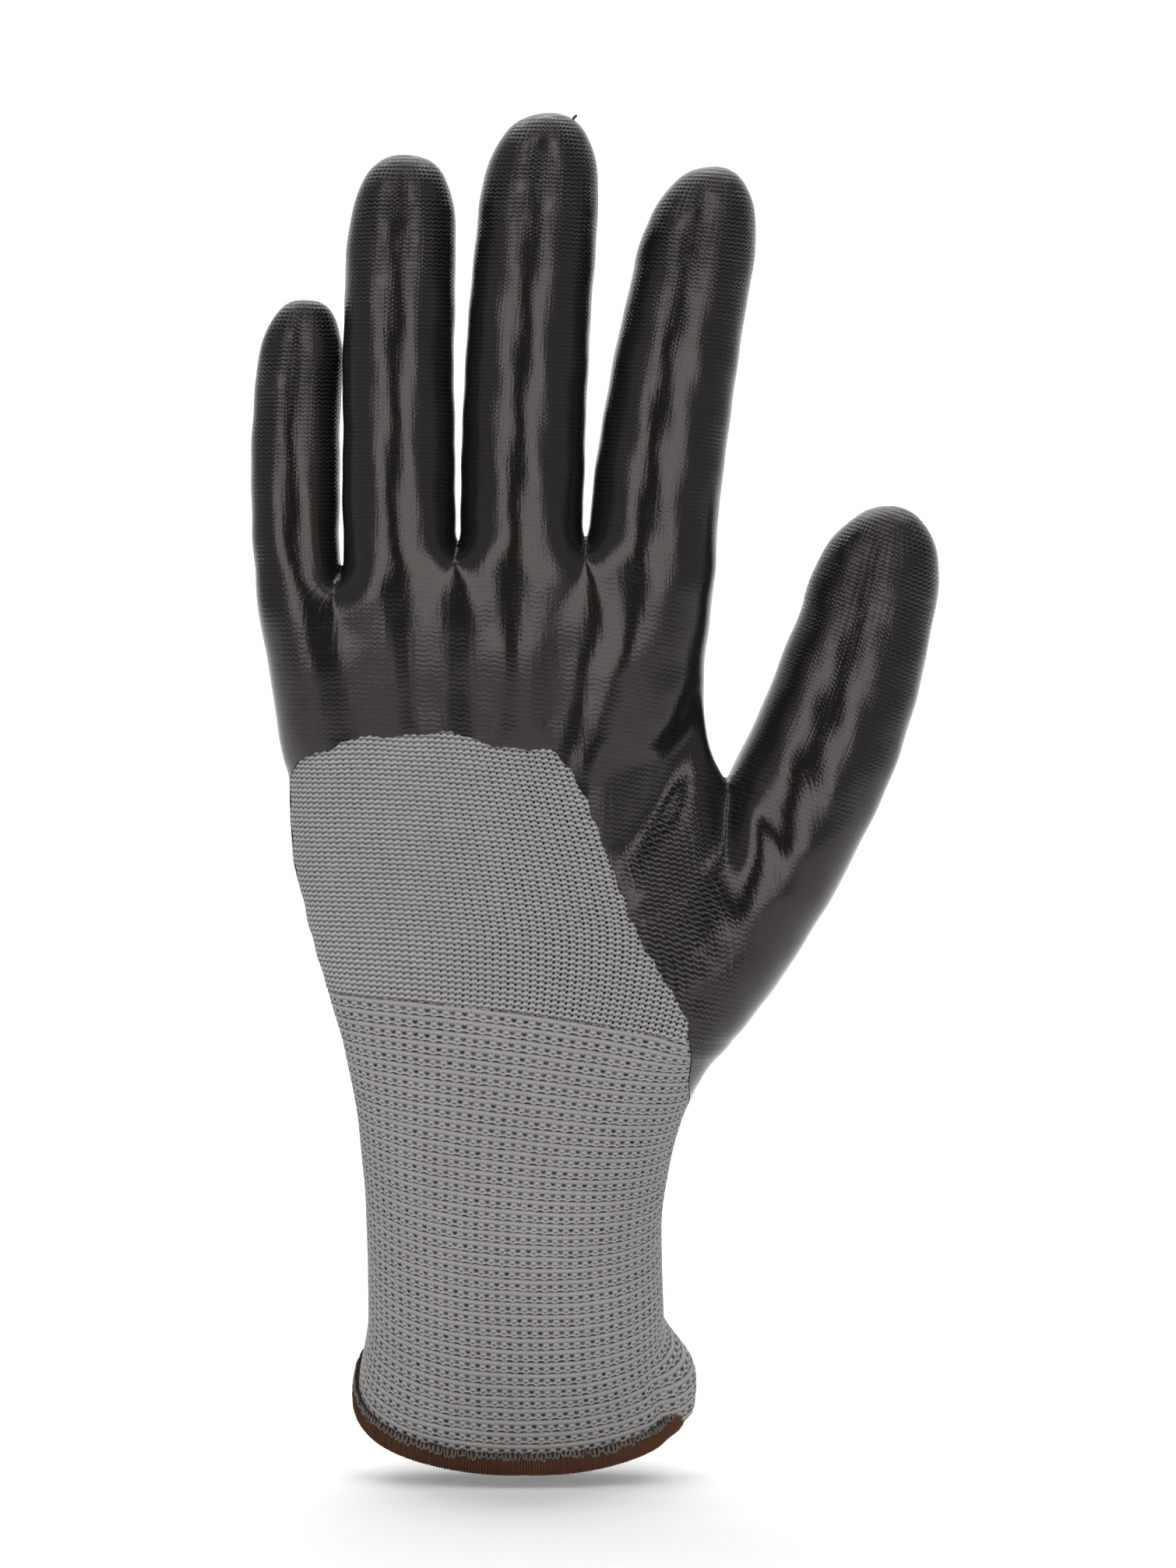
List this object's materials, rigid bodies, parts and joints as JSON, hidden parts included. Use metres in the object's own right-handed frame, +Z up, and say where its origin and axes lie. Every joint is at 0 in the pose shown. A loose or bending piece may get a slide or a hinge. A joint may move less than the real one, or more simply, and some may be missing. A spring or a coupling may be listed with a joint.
{
  "type": "work glove",
  "caption": "Left-hand knitted work glove with a glossy dark dipped coating over the palm, thumb and fingers, a bare knitted back, a ribbed elastic cuff and an overlocked hem.",
  "frame": {"origin": "middle of the cuff's opening, in the plane of the hem's lower edge", "axes": "+Z up along the hand towards the fingertips, -Y out of the back of the hand, +Y out of the palm, +X towards the thumb"},
  "size_m": [0.1256, 0.0641, 0.2496],
  "materials": {
    "knit": "fine grey nylon or polyester knit, matt",
    "coating": "smooth glossy dark dipped nitrile with a faint knit imprint",
    "hem_thread": "brown overlock thread, matt"
  },
  "bodies": {
    "cuff": {"liner_cuff": "knit", "liner_wrist": "knit", "hem_binding": "hem_thread"},
    "hand": {"liner_hand": "knit", "coat_hand": "coating"},
    "index_proximal": {"liner_index_proximal": "knit", "coat_index_proximal": "coating"},
    "index_middle": {"liner_index_middle": "knit", "coat_index_middle": "coating"},
    "index_distal": {"liner_index_distal": "knit", "coat_index_distal": "coating"},
    "middle_proximal": {"liner_middle_proximal": "knit", "coat_middle_proximal": "coating"},
    "middle_middle": {"liner_middle_middle": "knit", "coat_middle_middle": "coating"},
    "middle_distal": {"liner_middle_distal": "knit", "coat_middle_distal": "coating"},
    "ring_proximal": {"liner_ring_proximal": "knit", "coat_ring_proximal": "coating"},
    "ring_middle": {"liner_ring_middle": "knit", "coat_ring_middle": "coating"},
    "ring_distal": {"liner_ring_distal": "knit", "coat_ring_distal": "coating"},
    "little_proximal": {"liner_little_proximal": "knit", "coat_little_proximal": "coating"},
    "little_middle": {"liner_little_middle": "knit", "coat_little_middle": "coating"},
    "little_distal": {"liner_little_distal": "knit", "coat_little_distal": "coating"},
    "thumb_proximal": {"liner_thumb_proximal": "knit", "coat_thumb_proximal": "coating"},
    "thumb_distal": {"liner_thumb_distal": "knit", "coat_thumb_distal": "coating"}
  },
  "joints": [
    {"name": "wrist", "type": "hinge", "parent": "cuff", "child": "hand", "pos_m": [-0.0013, -0.02073, 0.0445], "axis": [-1, 0, 0], "range_deg": [-20, 20], "stiffness_Nm_per_rad": 0.4, "deforming": ["liner_wrist"]},
    {"name": "index_root", "type": "hinge", "parent": "hand", "child": "index_proximal", "pos_m": [0.02425, -0.02189, 0.166], "axis": [-0.9964, 0, 0.0845], "range_deg": [0, 50], "stiffness_Nm_per_rad": 0.03},
    {"name": "index_bend", "type": "hinge", "parent": "index_proximal", "child": "index_middle", "pos_m": [0.02667, -0.02115, 0.1845], "axis": [-0.9964, 0, 0.0845], "range_deg": [0, 80], "stiffness_Nm_per_rad": 0.015},
    {"name": "index_end", "type": "hinge", "parent": "index_middle", "child": "index_distal", "pos_m": [0.03054, -0.01937, 0.2065], "axis": [-0.9964, 0, 0.0845], "range_deg": [0, 48]},
    {"name": "middle_root", "type": "hinge", "parent": "hand", "child": "middle_proximal", "pos_m": [-0.00021, -0.02326, 0.166], "axis": [-0.9996, 0, 0.0297], "range_deg": [0, 50], "stiffness_Nm_per_rad": 0.03},
    {"name": "middle_bend", "type": "hinge", "parent": "middle_proximal", "child": "middle_middle", "pos_m": [0.0005, -0.02234, 0.187], "axis": [-0.9996, 0, 0.0297], "range_deg": [0, 80], "stiffness_Nm_per_rad": 0.015},
    {"name": "middle_end", "type": "hinge", "parent": "middle_middle", "child": "middle_distal", "pos_m": [0.0021, -0.02025, 0.2115], "axis": [-0.9996, 0, 0.0297], "range_deg": [0, 48]},
    {"name": "ring_root", "type": "hinge", "parent": "hand", "child": "ring_proximal", "pos_m": [-0.02272, -0.02337, 0.165], "axis": [-0.9999, 0, 0.0131], "range_deg": [0, 50], "stiffness_Nm_per_rad": 0.03},
    {"name": "ring_bend", "type": "hinge", "parent": "ring_proximal", "child": "ring_middle", "pos_m": [-0.0228, -0.02247, 0.1835], "axis": [-0.9999, 0, 0.0131], "range_deg": [0, 80], "stiffness_Nm_per_rad": 0.015},
    {"name": "ring_end", "type": "hinge", "parent": "ring_middle", "child": "ring_distal", "pos_m": [-0.02262, -0.02033, 0.2055], "axis": [-0.9999, 0, 0.0131], "range_deg": [0, 48]},
    {"name": "little_root", "type": "hinge", "parent": "hand", "child": "little_proximal", "pos_m": [-0.04133, -0.02208, 0.158], "axis": [-0.9998, 0, 0.0174], "range_deg": [0, 50], "stiffness_Nm_per_rad": 0.03},
    {"name": "little_bend", "type": "hinge", "parent": "little_proximal", "child": "little_middle", "pos_m": [-0.04168, -0.02106, 0.172], "axis": [-0.9998, 0, 0.0174], "range_deg": [0, 80], "stiffness_Nm_per_rad": 0.015},
    {"name": "little_end", "type": "hinge", "parent": "little_middle", "child": "little_distal", "pos_m": [-0.04159, -0.01912, 0.1875], "axis": [-0.9998, 0, 0.0174], "range_deg": [0, 48]},
    {"name": "thumb_root", "type": "hinge", "parent": "hand", "child": "thumb_proximal", "pos_m": [0.0558, -0.01556, 0.1245], "axis": [-0.9397, 0, 0.342], "range_deg": [0, 40], "stiffness_Nm_per_rad": 0.03},
    {"name": "thumb_end", "type": "hinge", "parent": "thumb_proximal", "child": "thumb_distal", "pos_m": [0.0621, -0.01368, 0.1435], "axis": [-0.9397, 0, 0.342], "range_deg": [0, 60], "stiffness_Nm_per_rad": 0.015}
  ],
  "couplings": [
    {"joint": "index_end", "follows": "index_bend", "ratio": 0.6},
    {"joint": "middle_end", "follows": "middle_bend", "ratio": 0.6},
    {"joint": "ring_end", "follows": "ring_bend", "ratio": 0.6},
    {"joint": "little_end", "follows": "little_bend", "ratio": 0.6}
  ]
}
